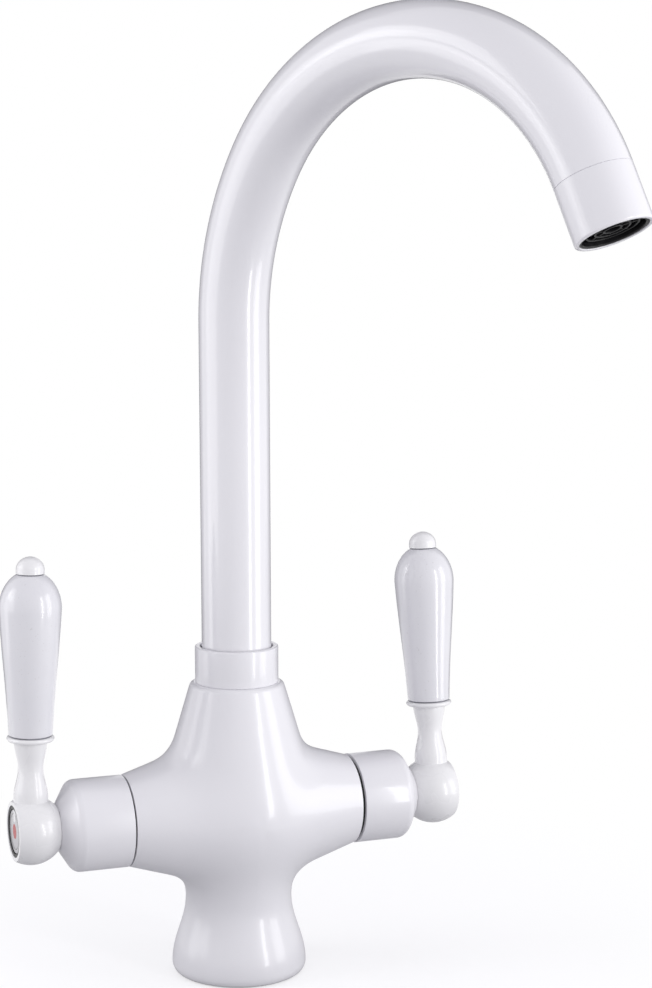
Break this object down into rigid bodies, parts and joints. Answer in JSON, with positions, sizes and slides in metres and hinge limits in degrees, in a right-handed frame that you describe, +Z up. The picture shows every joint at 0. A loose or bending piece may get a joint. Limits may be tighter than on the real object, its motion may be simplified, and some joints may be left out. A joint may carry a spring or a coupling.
{
  "type": "kitchen mixer tap",
  "caption": "Twin-lever kitchen mixer tap with a swivelling swan-neck spout, a cross-shaped cast body and turned levers with ceramic grips.",
  "frame": {"origin": "centre of the foot's underside, on the sink top", "axes": "+Z up, the valve arms along X with the hot side at -X, the user stands at -Y"},
  "size_m": [0.1938, 0.2061, 0.3819],
  "materials": {
    "gloss_white": "smooth gloss white enamel",
    "grip_ceramic": "glazed white ceramic",
    "brass": "machined brass",
    "steel": "plain stainless steel",
    "index_silver": "satin silver disc",
    "black_plastic": "gloss black",
    "nylon": "plain nylon",
    "disc_ceramic": "lapped white ceramic",
    "rubber": "black rubber"
  },
  "bodies": {
    "tap_body": {"body_casting": "gloss_white", "base_seal": "rubber", "spout_collar": "gloss_white", "swivel_washer": "nylon", "hot_cover_ring": "rubber", "hot_valve_cover": "gloss_white", "hot_valve_body": "brass", "hot_seat_seal": "rubber", "hot_fixed_disc": "disc_ceramic", "cold_cover_ring": "rubber", "cold_valve_cover": "gloss_white", "cold_valve_body": "brass", "cold_seat_seal": "rubber", "cold_fixed_disc": "disc_ceramic"},
    "spout": {"spout_tube": "gloss_white", "spout_spigot": "brass", "spigot_o_rings": "rubber", "nozzle": "gloss_white", "aerator_cage": "black_plastic", "aerator_screen": "steel", "aerator_seal": "rubber"},
    "hot_lever": {"hot_turning_disc": "disc_ceramic", "hot_spindle": "brass", "hot_circlip": "steel", "hot_lever_hub": "gloss_white", "hot_lever_screw": "steel", "hot_index_ring": "black_plastic", "hot_index_disc": "index_silver", "hot_tie_rod": "steel", "hot_grip_washers": "black_plastic", "hot_lever_grip": "grip_ceramic", "hot_finial": "gloss_white"},
    "cold_lever": {"cold_turning_disc": "disc_ceramic", "cold_spindle": "brass", "cold_circlip": "steel", "cold_lever_hub": "gloss_white", "cold_lever_screw": "steel", "cold_index_ring": "black_plastic", "cold_index_disc": "index_silver", "cold_tie_rod": "steel", "cold_grip_washers": "black_plastic", "cold_lever_grip": "grip_ceramic", "cold_finial": "gloss_white"}
  },
  "joints": [
    {"name": "spout_swivel", "type": "hinge", "parent": "tap_body", "child": "spout", "pos_m": [0, 0, 0.1198], "axis": [0, 0, 1], "continuous": true},
    {"name": "hot_lever_turn", "type": "hinge", "parent": "tap_body", "child": "hot_lever", "pos_m": [-0.0863, 0, 0.0666], "axis": [1, 0, 0], "range_deg": [0, 90]},
    {"name": "cold_lever_turn", "type": "hinge", "parent": "tap_body", "child": "cold_lever", "pos_m": [0.0863, 0, 0.0666], "axis": [1, 0, 0], "range_deg": [0, 90]}
  ]
}
